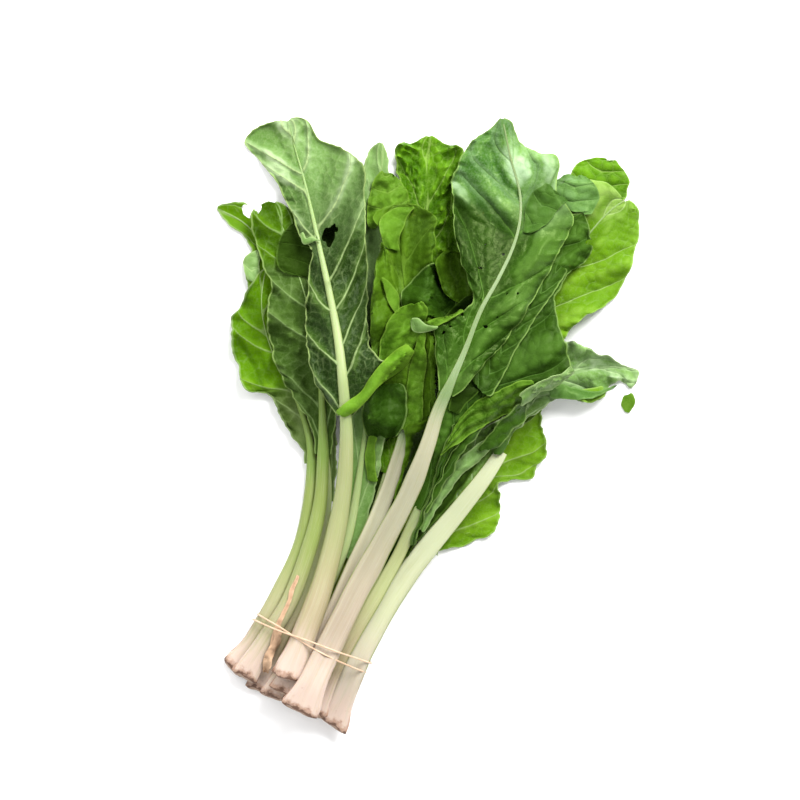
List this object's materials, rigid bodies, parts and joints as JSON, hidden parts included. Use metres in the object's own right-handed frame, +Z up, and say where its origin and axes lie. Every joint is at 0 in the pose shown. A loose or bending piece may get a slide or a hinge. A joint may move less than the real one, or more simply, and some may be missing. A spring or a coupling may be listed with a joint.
{
  "type": "chard bunch",
  "caption": "Bunch of leafy chard with pale ribs and long stalks, cut across and held by a doubled rubber band, lying on its side.",
  "frame": {"origin": "middle of the bunch's bounding box, on the surface it lies on", "axes": "+Y along the bunch from the cut ends to the tips, +Z up from the surface, +X to the right of the uppermost leaf seen from above with the tips at the top"},
  "size_m": [0.2993, 0.4172, 0.0533],
  "materials": {
    "stalk": "fibrous pale yellow-green stalk and rib, cream at the foot, with a slight wet sheen",
    "dark_blade": "puckered deep green leaf with sunken veins and a waxy gloss",
    "bright_blade": "thin yellow-green leaf with pale veins, paler at the margin",
    "pale_blade": "matt grey-green underside of a leaf with raised pale veins",
    "rubber_band": "beige-orange natural rubber, smooth with a soft sheen"
  },
  "bodies": {
    "root": {"leaf_low_right_stalk": "stalk", "leaf_low_right_blade": "bright_blade", "leaf_far_left_stalk": "stalk", "leaf_far_left_blade": "bright_blade", "leaf_back_right_stalk": "stalk", "leaf_back_right_blade": "bright_blade", "leaf_left_stalk": "stalk", "leaf_left_blade": "bright_blade", "leaf_top_middle_stalk": "stalk", "leaf_top_middle_blade": "bright_blade", "leaf_pale_tip_stalk": "stalk", "leaf_pale_tip_blade": "bright_blade", "leaf_dark_left_stalk": "stalk", "leaf_dark_left_blade": "dark_blade", "leaf_middle_stalk": "stalk", "leaf_middle_blade": "dark_blade", "leaf_right_stalk": "stalk", "leaf_right_blade": "dark_blade", "leaf_inner_right_stalk": "stalk", "leaf_inner_right_blade": "dark_blade", "leaf_front_left_stalk": "stalk", "leaf_front_left_blade": "pale_blade", "leaf_front_right_stalk": "stalk", "leaf_front_right_blade": "dark_blade", "rubber_band": "rubber_band"}
  },
  "joints": []
}
